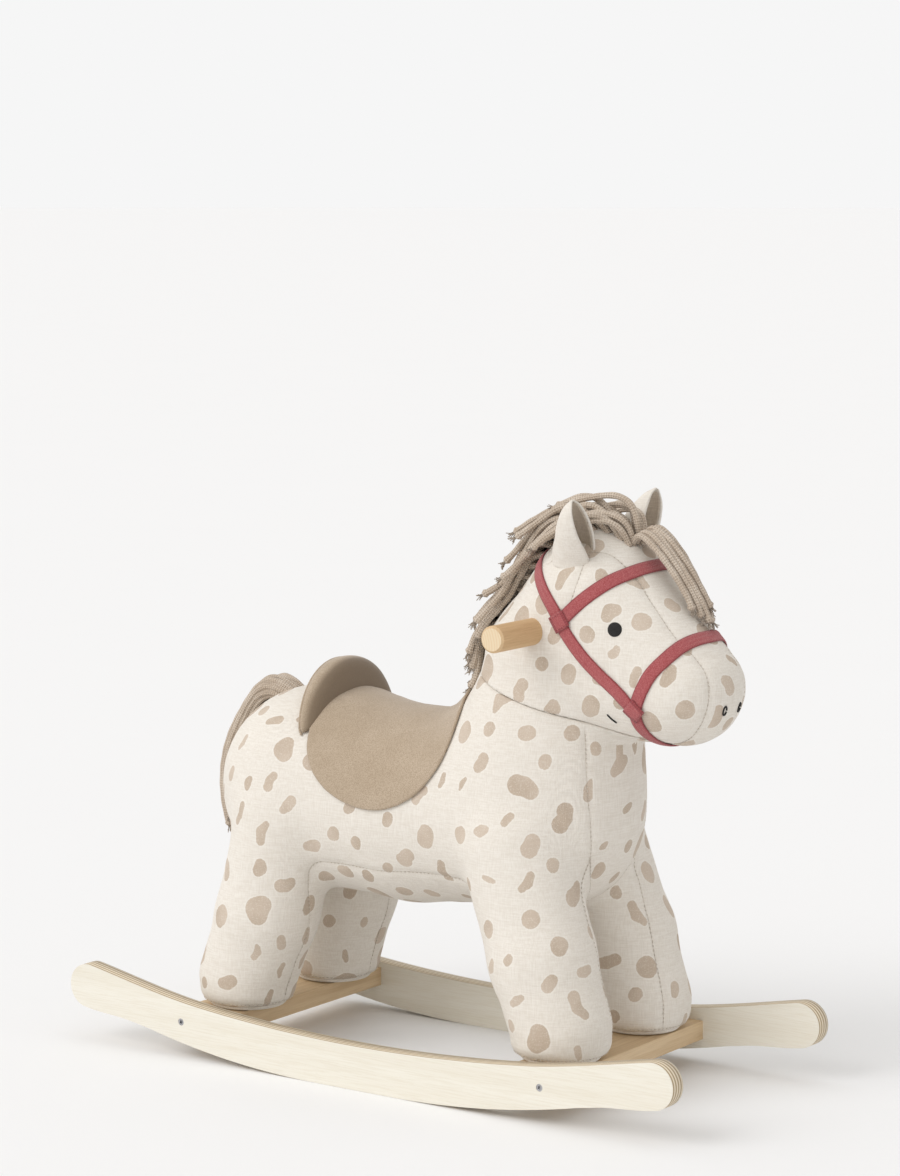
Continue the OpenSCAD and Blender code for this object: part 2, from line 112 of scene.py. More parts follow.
class Graph:
    """One material, built by passing sockets from node to node."""

    def __init__(self, name, roughness=0.85, specular=0.25, sheen=0.0):
        self.material = bpy.data.materials.new(name)
        self.material.use_nodes = True
        self.tree = self.material.node_tree
        self.shader = self.tree.nodes["Principled BSDF"]
        self.shader.inputs["Roughness"].default_value = roughness
        self.shader.inputs["Specular IOR Level"].default_value = specular
        self.shader.inputs["Sheen Weight"].default_value = sheen
        self.place = self.node("TexCoord", out="Object")

    def node(self, kind, inputs=None, out=0, **settings):
        node = self.tree.nodes.new("ShaderNode" + kind)
        for key, value in settings.items():
            setattr(node, key, value)
        for key, value in (inputs or {}).items():
            if isinstance(value, bpy.types.NodeSocket):
                self.tree.links.new(value, node.inputs[key])
            else:
                node.inputs[key].default_value = value
        return node.outputs[out]

    def math(self, operation, a, b=0.0):
        return self.node("Math", {0: a, 1: b}, operation=operation)

    def times(self, a, b):
        return self.math("MULTIPLY", a, b)

    def plus(self, a, b):
        return self.math("ADD", a, b)

    def noise(self, scale, stretch=(1, 1, 1), detail=2.0):
        """Noise with `scale` features per metre, its coordinates stretched per axis."""
        spot = self.node("VectorMath", {0: self.place, 1: stretch}, operation="MULTIPLY")
        return self.node("TexNoise", {"Vector": spot, "Scale": scale, "Detail": detail})

    def ramp(self, value, low, high, start=0.0, end=1.0):
        return self.node("MapRange", {"Value": value, "From Min": low, "From Max": high, "To Min": start,
                                      "To Max": end}, interpolation_type="SMOOTHSTEP")

    def mix(self, factor, a, b, blend="MIX"):
        return self.node("Mix", {0: factor, 6: a, 7: b}, out=2, data_type="RGBA", blend_type=blend)

    def attribute(self, name, out="Fac"):
        return self.node("Attribute", out=out, attribute_name=name)

    def axes(self, vector):
        node = self.tree.nodes.new("ShaderNodeSeparateXYZ")
        self.tree.links.new(vector, node.inputs[0])
        return node.outputs[0], node.outputs[1], node.outputs[2]

    def waves(self, coordinate, pitch):
        """A sine along a coordinate, with the pitch in that coordinate's unit."""
        return self.math("SINE", self.times(coordinate, 2 * math.pi / pitch))

    def weave(self, thread):
        """Over and under of a plain weave on all three planes, from -1 to 1."""
        waves = [self.waves(axis, 2 * thread) for axis in self.axes(self.place)]
        facing = self.axes(self.node("NewGeometry", out="Normal"))
        total = 0.0
        for i in range(3):
            over = self.times(waves[(i + 1) % 3], waves[(i + 2) % 3])
            total = self.plus(self.times(over, self.math("ABSOLUTE", facing[i])), total)
        return total

    def finish(self, colour, height=None, depth=0.0002, strength=0.6):
        """Sets the colour and a bump whose full height is `depth` metres."""
        self.tree.links.new(colour, self.shader.inputs["Base Color"])
        if height is not None:
            bump = self.node("Bump", {"Height": height, "Distance": depth, "Strength": strength})
            self.tree.links.new(bump, self.shader.inputs["Normal"])
        return self.material


def rgba(red, green, blue):
    return (red, green, blue, 1.0)


CREAM = rgba(0.800, 0.752, 0.680)
CREAM_PALE = rgba(0.870, 0.835, 0.780)
CREAM_SHADE = rgba(0.640, 0.575, 0.495)
PRINT = rgba(0.610, 0.510, 0.415)
PRINT_DARK = rgba(0.520, 0.422, 0.330)


def slubs(graph, thread):
    """Uneven threads, long upwards and long sideways, around 0."""
    upright = graph.noise(1 / (2.2 * thread), (1, 1, 0.09), 3)
    sideways = graph.noise(1 / (2.2 * thread), (0.09, 0.09, 1), 3)
    return graph.math("SUBTRACT", graph.plus(upright, sideways), 1.0)


def printed_cotton():
    graph = Graph("printed_cotton", roughness=0.92, specular=0.2, sheen=0.12)
    thread = 0.0005
    threads = slubs(graph, thread)
    weave = graph.weave(thread)
    cloth = graph.mix(graph.ramp(threads, -0.34, 0.34), CREAM_SHADE, CREAM_PALE)
    cloth = graph.mix(0.62, cloth, CREAM)
    cloud = graph.noise(22, detail=3)
    ink = graph.mix(graph.ramp(cloud, 0.35, 0.65), PRINT_DARK, PRINT)
    speckle = graph.ramp(graph.noise(950), 0.50, 0.72)
    ink = graph.mix(graph.times(speckle, 0.42), ink, CREAM)
    ink = graph.mix(graph.ramp(threads, 0.05, 0.5, 0.0, 0.35), ink, CREAM_PALE)
    roughness = graph.times(graph.math("SUBTRACT", graph.noise(420), 0.5), 1.1)
    edge = graph.plus(graph.attribute("print"), roughness)
    rim = graph.times(graph.ramp(edge, -0.2, 0.6), graph.ramp(edge, 0.8, 2.0, 1.0, 0.0))
    cloth = graph.mix(graph.times(rim, 0.28), cloth, CREAM_PALE)
    colour = graph.mix(graph.ramp(edge, -0.35, 0.35), ink, cloth)
    seam = graph.math("ABSOLUTE", graph.attribute("seam"))
    # Painted shade: the cloth is darkened along the seams, in the creases they pull in.
    line = graph.ramp(seam, 0.15, 0.8, 1.0, 0.0)
    colour = graph.mix(graph.times(line, 0.30), colour, CREAM_SHADE, "MULTIPLY")
    height = graph.plus(weave, graph.times(threads, 2.5))
    height = graph.math("SUBTRACT", height, graph.times(line, 3.0))
    return graph.finish(colour, height, 0.00018, 0.55)


def plain_cloth(name, base, shade, thread=0.0005, sheen=0.1):
    graph = Graph(name, roughness=0.92, specular=0.2, sheen=sheen)
    threads = slubs(graph, thread)
    colour = graph.mix(graph.ramp(threads, -0.32, 0.32), shade, base)
    return graph.finish(colour, graph.plus(graph.weave(thread), threads), 0.00015, 0.5)


def suede(name, base, dark, light):
    """Short brushed pile: clouds where it lies another way, a fine grain, and painted shade where a value
    stored on the piece is high.
    """
    graph = Graph(name, roughness=0.95, specular=0.12, sheen=0.35)
    clouds = graph.noise(24, (1, 1, 1.6), 4)
    grain = graph.noise(1000, detail=3)
    colour = graph.mix(graph.ramp(clouds, 0.25, 0.75, 0.0, 0.6), base, light)
    colour = graph.mix(graph.ramp(grain, 0.36, 0.62, 0.6, 0.0), colour, dark)
    flecks = graph.ramp(graph.noise(1900, detail=1), 0.62, 0.72)
    colour = graph.mix(graph.times(flecks, 0.35), colour, light)
    # Painted shade: a darker colour mixed in by the piece's stored value, which on the cantle rises where
    # it faces forwards, away from the light.
    painted_shade = rgba(*(0.68 * v for v in dark[:3]))
    colour = graph.mix(graph.times(graph.attribute("nap"), 0.9), colour, painted_shade)
    return graph.finish(colour, graph.plus(grain, graph.times(clouds, 0.8)), 0.0006, 0.5)


def cord_material(name, base, dark, light, pitch=5.0):
    """Braided cord. U runs along it in millimetres and V once around it."""
    graph = Graph(name, roughness=0.9, specular=0.18, sheen=0.2)
    along, around, _ = graph.axes(graph.node("UVMap", uv_map="lay"))
    turn = graph.times(around, 4 * pitch)
    first = graph.waves(graph.plus(along, turn), pitch)
    second = graph.waves(graph.math("SUBTRACT", along, turn), pitch)
    braid = graph.times(first, second)
    fibres = graph.noise(1100, detail=3)
    tint = graph.noise(45)
    colour = graph.mix(graph.ramp(tint, 0.35, 0.65), base, light)
    # Painted shade: the braid's hollows and the low fibres are darkened.
    hollow = graph.plus(graph.ramp(braid, -0.9, 0.5, 0.55, 0.0), graph.ramp(fibres, 0.3, 0.55, 0.45, 0.0))
    colour = graph.mix(hollow, colour, dark)
    return graph.finish(colour, graph.plus(braid, fibres), 0.0007, 0.7)


def tape_material():
    """Woven tape. U runs along it and V across it, both in millimetres."""
    graph = Graph("red_tape", roughness=0.85, specular=0.2, sheen=0.25)
    along, across, _ = graph.axes(graph.node("UVMap", uv_map="lay"))
    zigzag = graph.math("PINGPONG", across, 2.1)
    twill = graph.waves(graph.plus(along, graph.times(zigzag, 1.4)), 1.5)
    fibres = graph.noise(900, detail=3)
    base, dark, light = rgba(0.430, 0.085, 0.092), rgba(0.235, 0.035, 0.042), rgba(0.560, 0.175, 0.175)
    colour = graph.mix(graph.ramp(fibres, 0.35, 0.7), base, light)
    colour = graph.mix(graph.ramp(twill, -1.0, 0.3, 0.45, 0.0), colour, dark)
    out = graph.math("ABSOLUTE", across)
    selvage = graph.ramp(out, 5.1, 5.6)
    notch = graph.times(selvage, graph.ramp(graph.waves(along, 2.2), -0.2, 0.5))
    colour = graph.mix(graph.times(selvage, 0.45), colour, dark)
    colour = graph.mix(graph.times(notch, 0.55), colour, dark)
    height = graph.math("SUBTRACT", graph.plus(twill, fibres), notch)
    return graph.finish(colour, height, 0.00035, 0.6)


def thread_material(name, base, dark, pitch=0.9):
    graph = Graph(name, roughness=0.6, specular=0.35, sheen=0.1)
    twist = graph.waves(graph.node("VectorMath", {0: graph.place, 1: (0.6, 0.6, 0.8)}, out="Value",
                                   operation="DOT_PRODUCT"), pitch * MM)
    colour = graph.mix(graph.ramp(twist, -0.8, 0.8), dark, base)
    return graph.finish(colour, twist, 0.0002, 0.6)


def wood(name, base, dark, along, ring=0.006, contrast=0.5):
    """Long grain along one axis, with growth rings across the other two and fine pores."""
    graph = Graph(name, roughness=0.55, specular=0.3)
    squeeze = tuple(0.035 if i == along else 1.0 for i in range(3))
    fine = graph.noise(900, squeeze, 3)
    bands = graph.noise(1 / ring, tuple(v * (0.6 if v < 1 else 1) for v in squeeze), 2)
    pores = graph.ramp(graph.noise(2400, tuple(0.06 if i == along else 1.0 for i in range(3)), 1),
                       0.64, 0.74)
    colour = graph.mix(graph.ramp(bands, 0.30, 0.70, contrast, 0.0), base, dark)
    colour = graph.mix(graph.ramp(fine, 0.30, 0.60, 0.35, 0.0), colour, dark)
    colour = graph.mix(graph.times(pores, 0.35), colour, dark)
    return graph, colour, graph.plus(fine, bands)


def finished_wood(*choices, **more):
    graph, colour, height = wood(*choices, **more)
    return graph.finish(colour, height, 0.0002, 0.4)


def dowel_wood():
    """Pine with its long grain along X, and rings on the ends."""
    base, dark = rgba(0.680, 0.470, 0.262), rgba(0.440, 0.262, 0.118)
    graph, colour, height = wood("pine_dowel", base, dark, 0, contrast=0.35)
    ends = graph.ramp(graph.math("ABSOLUTE", graph.axes(graph.node(
        "NewGeometry", out="Normal"))[0]), 0.6, 0.95)
    centre = graph.node("VectorMath", {0: graph.place, 1: (0, 0.117, -0.432)}, operation="ADD")
    flat = graph.node("VectorMath", {0: centre, 1: (0, 1, 1)}, operation="MULTIPLY")
    radius = graph.node("VectorMath", {0: flat}, out="Value", operation="LENGTH")
    wobble = graph.times(graph.noise(60, (0, 1, 1)), 0.004)
    rings = graph.waves(graph.plus(radius, wobble), 0.0028)
    pale = graph.mix(graph.ramp(rings, -0.6, 1.0, 0.0, 0.45), rgba(0.76, 0.62, 0.43), base)
    return graph.finish(graph.mix(ends, colour, pale), height, 0.0002, 0.4)


PLY_PALE = rgba(0.800, 0.715, 0.570)
PLY_DARK = rgba(0.430, 0.325, 0.200)
PLY_GLUE = rgba(0.300, 0.215, 0.130)
PLY_PITCH = 0.0042


def birch_plywood():
    """Pale veneer on the faces, and the plies, which are stacked along X, on the edges."""
    base, dark = rgba(0.815, 0.782, 0.695), rgba(0.680, 0.615, 0.490)
    graph, veneer, height = wood("birch_plywood", base, dark, 1, ring=0.02, contrast=0.28)
    across = graph.axes(graph.place)[0]
    middle = (INNER_X + ROCKER_T / 2) * MM
    from_middle = graph.math("ABSOLUTE", graph.math("SUBTRACT", graph.math("ABSOLUTE", across), middle))
    edge = graph.ramp(from_middle, 0.0087, 0.0082)
    wander = graph.times(graph.noise(30, (1, 0.4, 1)), 0.0004)
    plies = graph.waves(graph.plus(across, wander), PLY_PITCH)
    layers = graph.mix(graph.ramp(plies, -0.35, 0.35), PLY_DARK, PLY_PALE)
    glue = graph.ramp(graph.math("ABSOLUTE", plies), 0.0, 0.28, 0.7, 0.0)
    layers = graph.mix(glue, layers, PLY_GLUE)
    height = graph.plus(height, graph.times(edge, plies))
    return graph.finish(graph.mix(edge, veneer, layers), height, 0.0002, 0.4)


def brushed_steel():
    graph = Graph("steel", roughness=0.38, specular=0.5)
    graph.shader.inputs["Metallic"].default_value = 1.0
    lines = graph.noise(2600, (1, 1, 0.05), 2)
    colour = graph.mix(graph.ramp(lines, 0.3, 0.7), rgba(0.30, 0.30, 0.31), rgba(0.62, 0.62, 0.64))
    return graph.finish(colour, lines, 0.0001, 0.3)


def floor_material():
    graph = Graph("studio_floor", roughness=0.9, specular=0.1)
    cloud = graph.noise(3)
    colour = graph.mix(cloud, rgba(0.866, 0.868, 0.874), rgba(0.872, 0.874, 0.880))
    return graph.finish(colour)


COTTON = printed_cotton()
SUEDE = suede(
    "saddle_suede", rgba(0.440, 0.348, 0.252), rgba(0.290, 0.215, 0.145), rgba(0.540, 0.440, 0.335))
LINING = plain_cloth("ear_lining", rgba(0.640, 0.560, 0.465), rgba(0.520, 0.445, 0.360))
CORD = cord_material(
    "cotton_cord", rgba(0.600, 0.500, 0.402), rgba(0.330, 0.250, 0.180), rgba(0.700, 0.605, 0.505))
TAPE = tape_material()
SEAM_THREAD = thread_material("seam_thread", rgba(0.780, 0.730, 0.650), rgba(0.520, 0.450, 0.365))
RED_THREAD = thread_material("red_thread", rgba(0.230, 0.035, 0.040), rgba(0.120, 0.015, 0.018))
BLACK_THREAD = thread_material("black_thread", rgba(0.020, 0.018, 0.017), rgba(0.006, 0.005, 0.005), 0.7)
BIRCH = birch_plywood()
PINE_BOARD = finished_wood("pine_board", rgba(0.720, 0.560, 0.365), rgba(0.520, 0.355, 0.195), 0)
PINE_DOWEL = dowel_wood()
INNER_WOOD = finished_wood("inner_wood", rgba(0.640, 0.480, 0.300), rgba(0.450, 0.300, 0.160), 2)
INNER_PLY = finished_wood("inner_ply", rgba(0.600, 0.480, 0.330), rgba(0.420, 0.310, 0.190), 1)
BEECH = finished_wood("beech_peg", rgba(0.600, 0.430, 0.270), rgba(0.420, 0.270, 0.150), 0)
STEEL = brushed_steel()


# ---------- meshes ----------

def unit(vectors):
    return vectors / np.maximum(np.linalg.norm(vectors, axis=-1, keepdims=True), 1e-9)


def run_along(path):
    """Distance from a path's start to each of its points."""
    return np.concatenate([[0], np.cumsum(np.linalg.norm(np.diff(path, axis=0), axis=1))])


class Shape:
    """Collects rings of points, and the quads between them, into one mesh."""

    def __init__(self):
        self.points, self.faces, self.lay = [], [], []

    def loft(self, rings, along=None, around=None):
        """Joins equal rings into a skin with a cap at both ends."""
        base, count = len(self.points), len(rings[0])
        along = along if along is not None else range(len(rings))
        around = around if around is not None else [j / count for j in range(count + 1)]
        for ring in rings:
            self.points.extend(ring)
        for i in range(len(rings) - 1):
            for j in range(count):
                low, high = base + i * count, base + (i + 1) * count
                k = (j + 1) % count
                self.faces.append((low + j, low + k, high + k, high + j))
                self.lay += [(along[i], around[j]), (along[i], around[j + 1]),
                             (along[i + 1], around[j + 1]), (along[i + 1], around[j])]
        for first, u in ((base, along[0]), (base + (len(rings) - 1) * count, along[-1])):
            self.faces.append(tuple(range(first, first + count)))
            self.lay += [(u, around[j]) for j in range(count)]

    def tube(self, path, radii, sides=8, along=None):
        """A closed skin around a path, with one radius for each of its points."""
        path = np.asarray(path, float)
        step = unit(np.gradient(path, axis=0))
        side = np.cross(step[0], (0.31, 0.17, 0.93))
        rings = []
        for point, way, radius in zip(path, step, np.broadcast_to(radii, len(path))):
            side = unit(side - way * (side @ way))
            other = np.cross(way, side)
            turns = np.linspace(0, 2 * math.pi, sides, endpoint=False)
            rings.append([point + radius * (math.cos(a) * side + math.sin(a) * other) for a in turns])
        self.loft(rings, along)


def make_object(name, points, faces, lay=None):
    """Makes one object from points in millimetres, with its normals pointing outwards."""
    mesh = bpy.data.meshes.new(name)
    mesh.from_pydata((np.asarray(points, float) * MM).tolist(), [], [tuple(f) for f in faces])
    if lay is not None:
        mesh.uv_layers.new(name="lay")
        mesh.uv_layers["lay"].data.foreach_set("uv", np.asarray(lay, float).ravel())
    work = bmesh.new()
    work.from_mesh(mesh)
    bmesh.ops.recalc_face_normals(work, faces=work.faces)
    work.to_mesh(mesh)
    work.free()
    made = bpy.data.objects.new(name, mesh)
    bpy.context.collection.objects.link(made)
    return made


def make_piece(name, points, faces, material, nodes=(), lay=None):
    """Makes one smooth object and files it with the frame."""
    piece = make_object(name, points, faces, lay)
    piece.data.polygons.foreach_set("use_smooth", [True] * len(faces))
    piece.data.materials.append(material)
    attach(piece, "root")
    if nodes:
        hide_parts(*nodes)
    return piece


def make_shape(name, shape, material, nodes=()):
    return make_piece(name, shape.points, shape.faces, material, nodes, shape.lay)


def write_values(piece, **layers):
    """Stores a value for each point and layer, for the piece's material to read."""
    for layer, values in layers.items():
        piece.data.attributes.new(layer, "FLOAT", "POINT").data.foreach_set("value", values)


def lumps(points, size, shift=0.0):
    """Slow unevenness around 0, with hollows and bumps about as wide as `size`."""
    return np.array([noise.noise(Vector(p)) for p in points / size + shift])


def point_tree(points):
    tree = kdtree.KDTree(len(points))
    for i, point in enumerate(points):
        tree.insert(point, i)
    tree.balance()
    return tree


# ---------- distance fields ----------

def smooth_min(a, b, k):
    h = np.maximum(k - np.abs(a - b), 0) / k
    return np.minimum(a, b) - h * h * k / 4


def smooth_max(a, b, k):
    return -smooth_min(-a, -b, k)


def cone(points, start, end, start_r, end_r):
    """Distance to a rod whose round ends have two radii."""
    start, way = np.array(start, float), np.subtract(end, start)
    t = np.clip((points - start) @ way / (way @ way), 0, 1)
    return np.linalg.norm(points - start - t[:, None] * way, axis=1) - (start_r + t * (end_r - start_r))


def slope(field, points, reach=0.8):
    """Unit normals of a field, and its values."""
    points = np.atleast_2d(points)
    way = np.stack([field(points + offset) - field(points - offset)
                    for offset in np.eye(3) * reach], axis=1)
    return unit(way), field(points)


def settle(field, points, level=0.0, rounds=4):
    """Moves points along the field's normals until they lie at a level."""
    points = np.array(np.atleast_2d(points), float)
    for _ in range(rounds):
        normal, value = slope(field, points)
        points -= normal * np.clip(value - level, -6, 6)[:, None]
    return points


def skin(field, low, high, pitch):
    """Closed quad mesh of a field's zero surface, by surface nets."""
    low = np.array(low, float)
    count = np.ceil((np.array(high) - low) / pitch).astype(int) + 1
    axes = [low[i] + pitch * np.arange(count[i]) for i in range(3)]
    grid = np.stack(np.meshgrid(*axes, indexing="ij"), -1).reshape(-1, 3)
    values = np.concatenate([field(part) for part in np.array_split(grid, 12)]).reshape(count)
    cells = count - 1
    corners = [(i, j, k) for i in (0, 1) for j in (0, 1) for k in (0, 1)]
    part = {c: values[tuple(slice(c[i], c[i] + cells[i]) for i in range(3))] for c in corners}
    total, hits = np.zeros((*cells, 3)), np.zeros(cells)
    for a in corners:
        for axis in range(3):
            if a[axis]:
                continue
            b = tuple(v + (i == axis) for i, v in enumerate(a))
            cut = (part[a] < 0) != (part[b] < 0)
            share = np.where(cut, part[a] / np.where(cut, part[a] - part[b], 1), 0)
            for i in range(3):
                total[..., i] += cut * (a[i] + (share if i == axis else 0))
            hits += cut
    used = hits > 0
    number = np.full(cells, -1)
    number[used] = np.arange(used.sum())
    points = low + pitch * (np.argwhere(used) + total[used] / hits[used][:, None])
    faces = []
    for axis in range(3):
        u, v = [i for i in range(3) if i != axis]
        first, second = (np.take(values, range(cells[axis]), axis),
                         np.take(values, range(1, count[axis]), axis))
        at = np.argwhere((first < 0) != (second < 0))
        at = at[(at[:, u] > 0) & (at[:, v] > 0) & (at[:, u] < cells[u]) & (at[:, v] < cells[v])]
        ring = []
        for du, dv in ((0, 0), (1, 0), (1, 1), (0, 1)):
            cell = at.copy()
            cell[:, u] -= du
            cell[:, v] -= dv
            ring.append(number[tuple(cell.T)])
        faces.append(np.stack(ring, axis=1))
    return settle(field, points), np.concatenate(faces)


# ---------- the horse's padded forms ----------

RUMP, RUMP_R = (0, 142, 257), 98
WAIST, WAIST_R = (0, 20, 248), 92
CHEST, CHEST_R = (0, -118, 262), 92
BREAST_R = 84
WITHERS, WITHERS_R = (0, -130, 335), 81
NAPE, NAPE_R = (0, -136, 402), 68
FOOT_R = 47.8
FOOT_LOW = 47.5
LEGS = {
    "front": ((70, -186, 72), (70, -165, 134), (58, -130, 232)),
    "rear": ((70, 181.5, 72), (66, 160, 136), (54, 140, 232)),
}
LEG_R = (FOOT_R, 49, 54)
NECK_AT, NECK_TILT = (-135, 374), 16
# Middle in (y, z), radius and sideways stretch of the balls that the head is drawn around
SKULL_POINTS = {
    "nape": ((-136, 402), 66, 1.0),
    "skull": ((-184, 465), 67, 1.0),
    "muzzle": ((-275.5, 387), 51, 1.2),
}


def neck_side(points):
    """Height above the plane of the seam between head and neck."""
    turn = math.radians(NECK_TILT)
    return (points[:, 2] - NECK_AT[1]) * math.cos(turn) - (points[:, 1] - NECK_AT[0]) * math.sin(turn)


def trunk_field(points):
    return smooth_min(cone(points, RUMP, WAIST, RUMP_R, WAIST_R),
                      cone(points, WAIST, CHEST, WAIST_R, CHEST_R), 8)


def leg_field(points, end):
    mirrored = np.column_stack([np.abs(points[:, 0]), points[:, 1:]])
    foot, knee, hip = LEGS[end]
    low = (foot[0], foot[1], FOOT_LOW)
    shape = cone(mirrored, low, foot, FOOT_R - 1, FOOT_R)
    shape = np.minimum(shape, cone(mirrored, foot, knee, LEG_R[0], LEG_R[1]))
    shape = smooth_min(shape, cone(mirrored, knee, hip, LEG_R[1], LEG_R[2]), 10)
    return smooth_max(shape, FOOT_LOW - points[:, 2], 16)


def uncut_body(points):
    neck = smooth_min(cone(points, CHEST, WITHERS, BREAST_R, WITHERS_R),
                      cone(points, WITHERS, NAPE, WITHERS_R, NAPE_R), 14)
    shape = smooth_min(trunk_field(points), neck, 42)
    for end in LEGS:
        shape = smooth_min(shape, leg_field(points, end), 14)
    return shape


def body_field(points):
    return smooth_max(horse_field(points), neck_side(points) + 0.2, 2.5)


def skull_balls(step=11.0):
    """Balls that fill the triangle between nape, skull and muzzle."""
    a, b, c = (np.array((*middle, radius, wide), float) for middle, radius, wide in SKULL_POINTS.values())
    count = int(np.linalg.norm(c - a) / step)
    return [a + i / count * (b - a) + j / count * (c - a)
            for i in range(count + 1) for j in range(count + 1 - i)]


BALLS = skull_balls()


def uncut_head(points):
    best = np.full(len(points), 1e9)
    for y, z, radius, wide in BALLS:
        best = np.minimum(best, np.sqrt((points[:, 0] / wide) ** 2 + (points[:, 1] - y) ** 2
                                        + (points[:, 2] - z) ** 2) - radius)
    return best


def horse_field(points):
    """Body and head in one; the head is left out where it's far below."""
    near = points[:, 2] > 300
    head = np.full(len(points), 1e3)
    head[near] = uncut_head(points[near])
    return smooth_min(head, uncut_body(points), 9)


def head_field(points):
    return smooth_max(horse_field(points), 0.2 - neck_side(points), 2.5)


# ---------- seams ----------

SEAM_SINK = 1.1
SEAM_REACH = 3.6
# Guides as (|x|, y, z); each seam is sewn on both sides
BODY_SEAMS = (
    ((48, -196, 345), (48, -196, 300), (47, -200, 262), (46, -206, 225), (45, -212, 170), (45, -224, 100),
     (45, -228, 52)),
    ((0, -150, 192), (22, -176, 205), (46, -204, 232)),
    ((80, 60, 196), (79, 92, 193), (72, 112, 172), (66, 120, 140), (68, 130, 90), (70, 136, 52)),
    ((80, 62, 196), (80, 20, 196), (80, -20, 196), (80, -62, 196)),
    ((80, -60, 196), (77, -94, 193), (70, -108, 172), (66, -114, 140), (68, -128, 90), (70, -136, 52)),
    ((1, 236, 232), (24, 232, 205), (42, 226, 160), (45, 224, 100), (45, 228, 52)),
)
BACK_SEAM = ((0, 205, 345), (0, 232, 300), (0, 242, 262), (0, 238, 230))
HEAD_SEAMS = (
    ((43, -199, 513), (37, -216, 511), (33, -232, 499), (32, -246, 486), (34, -261, 468), (34, -285, 438),
     (31, -302, 424), (30, -313, 410), (31, -318, 392), (32, -312, 366), (27, -294, 346), (20, -272, 337)),
    ((45, -198, 512), (58, -197, 495), (64, -195, 481), (66, -189, 462), (66, -183, 452)),
    ((52, -158, 504), (48, -180, 511), (43, -199, 513)),
)


def smooth_rows(table, count):
    """Rows of a smooth curve through a table, with any number of columns."""
    table = np.array(table, float)
    spread = np.concatenate([[2 * table[0] - table[1]], table, [2 * table[-1] - table[-2]]])
    rows = []
    for place in np.linspace(0, len(table) - 1, count):
        i = min(int(place), len(table) - 2)
        a, b, c, d = spread[i:i + 4]
        t = place - i
        rows.append(0.5 * (2 * b + (c - a) * t + (2 * a - 5 * b + 4 * c - d) * t ** 2
                           + (3 * b - a - 3 * c + d) * t ** 3))
    return np.array(rows)


def curve_through(guides, step=2.0):
    """Evenly spaced points on a smooth curve through the guides."""
    return evenly(smooth_rows(guides, 16 * (len(guides) - 1) + 1), step)


def evenly(path, step):
    path = np.asarray(path, float)
    length = run_along(path)
    marks = np.linspace(0, length[-1], max(int(length[-1] / step), 2) + 1)
    return np.stack([np.interp(marks, length, path[:, i]) for i in range(3)], axis=1)


def seam_lines(field, guides):
    """Both sides' seams as paths on the surface."""
    lines = []
    for guide in guides:
        for side in (-1, 1):
            path = curve_through([(side * x, y, z) for x, y, z in guide])
            lines.append(evenly(settle(field, path), 2.0))
    return lines


def seam_distance(field, points, lines):
    """Signed distance from each point to the nearest seam, at most 20 either way."""
    places = np.concatenate(lines)
    ways = unit(np.concatenate([np.gradient(line, axis=0) for line in lines]))
    across = np.cross(ways, slope(field, places)[0])
    tree = point_tree(places)
    distance = np.full(len(points), 20.0)
    for i, point in enumerate(points):
        place, j, gap = tree.find(point)
        if gap < 20:
            offset = point - places[j]
            aside, ahead = offset @ across[j], offset @ ways[j]
            distance[i] = math.copysign(math.hypot(aside, max(abs(ahead) - 1.5, 0)), aside)
    return distance


def stitches(shape, field, path, level, length=2.4, gap=1.9, radius=0.42):
    """A row of short threads along a path, each dipping into the cloth at both ends."""
    pitch = length + gap
    count = int(run_along(path)[-1] / pitch)
    fine = evenly(path, pitch / 4)
    normal, _ = slope(field, fine)
    for i in range(count):
        piece = fine[4 * i:4 * i + 3]
        if len(piece) < 3:
            break
        lift = np.array([level - radius, level + radius * 0.7, level - radius])
        ends = piece + normal[4 * i:4 * i + 3] * lift[:, None]
        shape.tube(ends, (radius * 0.7, radius, radius * 0.7), 6)


# ---------- printed spots ----------

SPOT_SMALL, SPOT_LARGE = 6.5, 20.0
SPOT_GAP = 7.5
SPOT_TRIES = 5200
# The value of "print" and "seam" where the cloth is plain
PLAIN = 12.0


def blob(flat, half, bend, fat):
    """Distance to a bean: two round-ended rods that share a middle."""
    flat3 = np.column_stack([flat, np.zeros(len(flat))])
    left, middle, right = (-half, 0, 0), (0, bend, 0), (half, 0, 0)
    return smooth_min(cone(flat3, left, middle, fat[0], fat[1]),
                      cone(flat3, middle, right, fat[1], fat[2]), 3)


def spot_distance(points, normals, panels, seed):
    """Distance from each point to the edge of the nearest printed spot, negative inside one.

    The cover is cut and sewn, so a spot ends at the seam of its own panel."""
    rng = np.random.default_rng(seed)
    tree = point_tree(points)
    distance = np.full(len(points), PLAIN)
    centres, sizes = [], []
    for index in rng.permutation(len(points))[:SPOT_TRIES]:
        size = SPOT_SMALL + (SPOT_LARGE - SPOT_SMALL) * rng.beta(1.3, 1.7)
        centre = points[index]
        if centres:
            gaps = np.linalg.norm(np.array(centres) - centre, axis=1) - np.array(sizes)
            if gaps.min() < size + SPOT_GAP:
                continue
        centres.append(centre)
        sizes.append(size)
        half = size * rng.uniform(0.10, 0.70)
        fat = (size - half) * rng.uniform(0.74, 1.12, 3)
        bend = size * rng.uniform(-0.22, 0.22)
        turn = rng.uniform(0, math.pi)
        near = np.array([hit[1] for hit in tree.find_range(centre, 34)])
        near = near[normals[near] @ normals[index] > 0.05]
        side = unit(np.cross(normals[index], (math.cos(turn), math.sin(turn), 0.35)))
        other = np.cross(normals[index], side)
        offset = points[near] - centre
        flat = np.column_stack([offset @ side, offset @ other])
        stretch = np.linalg.norm(offset, axis=1) / np.maximum(np.linalg.norm(flat, axis=1), 0.1)
        value = blob(flat * np.clip(stretch, 1, 1.4)[:, None], half, bend, fat)
        for panel in panels:
            value = np.maximum(value, -math.copysign(1, panel[index]) * panel[near])
        distance[near] = np.minimum(distance[near], value)
    return distance


